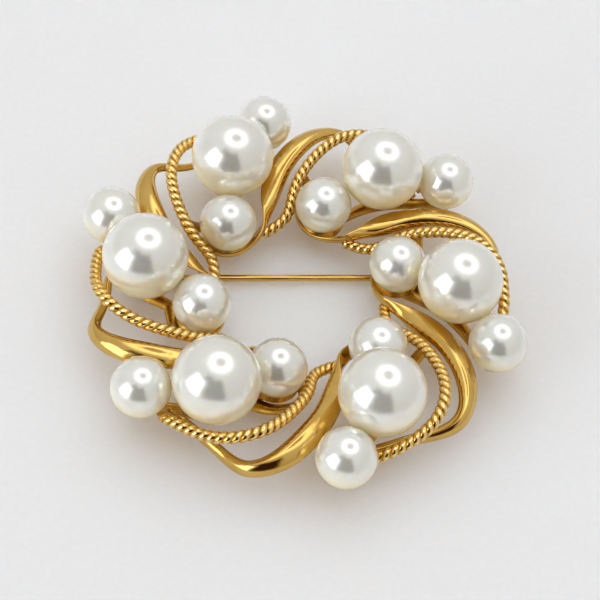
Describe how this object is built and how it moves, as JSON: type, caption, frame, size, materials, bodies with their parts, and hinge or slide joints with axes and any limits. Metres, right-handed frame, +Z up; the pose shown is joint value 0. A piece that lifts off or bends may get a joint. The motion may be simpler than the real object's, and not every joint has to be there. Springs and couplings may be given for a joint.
{
  "type": "wreath brooch",
  "caption": "Round openwork wreath brooch: slanting pearl clusters between smooth curling bands and twisted ropes, with a hinged pin and a hook catch behind.",
  "frame": {"origin": "on the surface that the brooch lies on, under the middle of the wreath", "axes": "+Z up out of the brooch's front, +X along the pin stem from the hinge to the catch"},
  "size_m": [0.0358, 0.038, 0.0099],
  "materials": {
    "gold": "polished yellow gold",
    "pearl": "lustrous white pearl"
  },
  "bodies": {
    "wreath": {"wreath_frame": "gold", "hinge_rivet": "gold", "pearl_large_1": "pearl", "pearl_large_2": "pearl", "pearl_large_3": "pearl", "pearl_large_4": "pearl", "pearl_large_5": "pearl", "pearl_large_6": "pearl", "pearl_outer_1": "pearl", "pearl_outer_2": "pearl", "pearl_outer_3": "pearl", "pearl_outer_4": "pearl", "pearl_outer_5": "pearl", "pearl_outer_6": "pearl", "pearl_inner_1": "pearl", "pearl_inner_2": "pearl", "pearl_inner_3": "pearl", "pearl_inner_4": "pearl", "pearl_inner_5": "pearl", "pearl_inner_6": "pearl"},
    "pin": {"pin_stem": "gold"}
  },
  "joints": [
    {"name": "pin_hinge", "type": "hinge", "parent": "wreath", "child": "pin", "pos_m": [-0.01381, 0.0031, 0.0006], "axis": [0, 1, 0], "range_deg": [0, 90]}
  ]
}
